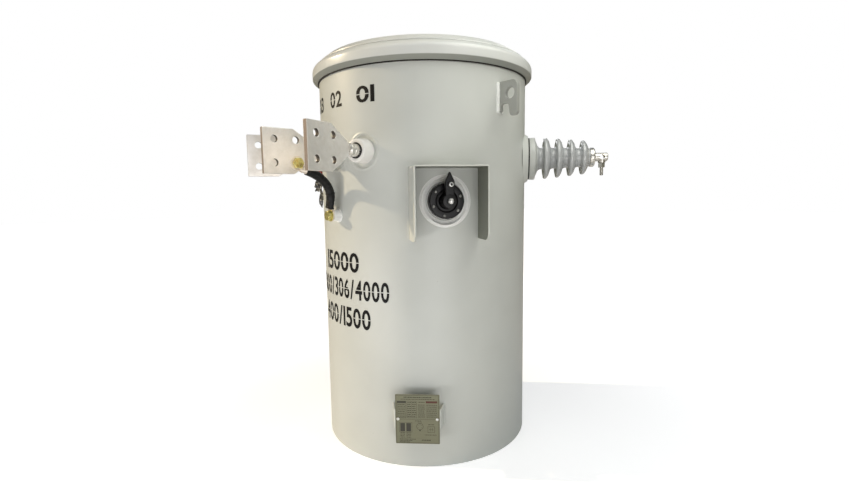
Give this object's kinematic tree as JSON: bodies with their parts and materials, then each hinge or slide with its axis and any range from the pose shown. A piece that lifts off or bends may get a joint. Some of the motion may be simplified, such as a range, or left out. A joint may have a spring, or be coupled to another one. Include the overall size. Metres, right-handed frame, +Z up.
{
  "type": "pole mounted transformer",
  "caption": "Round-tank pole mounted distribution transformer with spade terminals, shed bushing, hooded tap changer and hanger brackets.",
  "frame": {"origin": "on the tank's axis, in the plane of its bottom face", "axes": "+Z up along the tank's axis; -Y is the low-voltage front, +Y the pole side, +X the side of the tap changer"},
  "size_m": [0.613, 0.687, 0.866],
  "materials": {
    "grey_enamel": "semi-gloss light grey enamel",
    "black_rubber": "matt",
    "white_porcelain": "glazed, off-white",
    "grey_porcelain": "glazed, light grey",
    "tinned_metal": "milled and tinned",
    "bright_steel": "plain stainless steel",
    "black_moulding": "moulded, satin",
    "yellow_zinc": "yellow zinc plate",
    "black_sleeve": "shrunk sleeve, satin",
    "etched_plate": "etched, satin",
    "dark_metal": "dark grey, satin",
    "red_plastic": "glossy dark red",
    "black_lead": "glossy",
    "core_and_oil": "inside the tank, not seen",
    "black_stencil": "matt black marking paint"
  },
  "bodies": {
    "tank": {"tank_wall": "grey_enamel", "tank_bottom": "grey_enamel", "core_coil_and_oil": "core_and_oil", "lid_gasket": "black_rubber", "lid": "grey_enamel", "lv_bushing_left": "white_porcelain", "lv_bushing_centre": "white_porcelain", "lv_bushing_right": "white_porcelain", "lv_seal_left": "black_rubber", "lv_seal_centre": "black_rubber", "lv_seal_right": "black_rubber", "lv_spade_left": "tinned_metal", "lv_spade_centre": "tinned_metal", "lv_spade_right": "tinned_metal", "hv_gasket": "black_rubber", "hv_flange": "grey_enamel", "hv_insulator": "grey_porcelain", "hv_cap": "tinned_metal", "hv_terminal": "tinned_metal", "hv_clamp_screw": "bright_steel", "lifting_lug_left": "grey_enamel", "lifting_lug_right": "grey_enamel", "hanger_bracket_upper": "grey_enamel", "hanger_bracket_lower": "grey_enamel", "tap_hood": "grey_enamel", "tap_disc": "black_moulding", "tap_screws": "bright_steel", "nameplate_bracket": "grey_enamel", "nameplate": "etched_plate", "nameplate_rivets": "bright_steel", "earth_boss": "grey_enamel", "earth_lug": "tinned_metal", "earth_bolt": "yellow_zinc", "strap_lug": "tinned_metal", "strap_bolt": "yellow_zinc", "earth_strap": "black_sleeve", "relief_boss": "grey_enamel", "relief_body": "dark_metal", "relief_cap": "red_plastic", "relief_pull": "black_lead"},
    "tap_handle_body": {"tap_handle": "black_moulding", "tap_shaft": "bright_steel", "tap_lock_screw": "bright_steel"}
  },
  "joints": [
    {"name": "tap_handle_turn", "type": "hinge", "parent": "tank", "child": "tap_handle_body", "pos_m": [0.22402, -0.13196, 0.5436], "axis": [0.8616, -0.5075, 0], "range_deg": [-72, 72]}
  ]
}
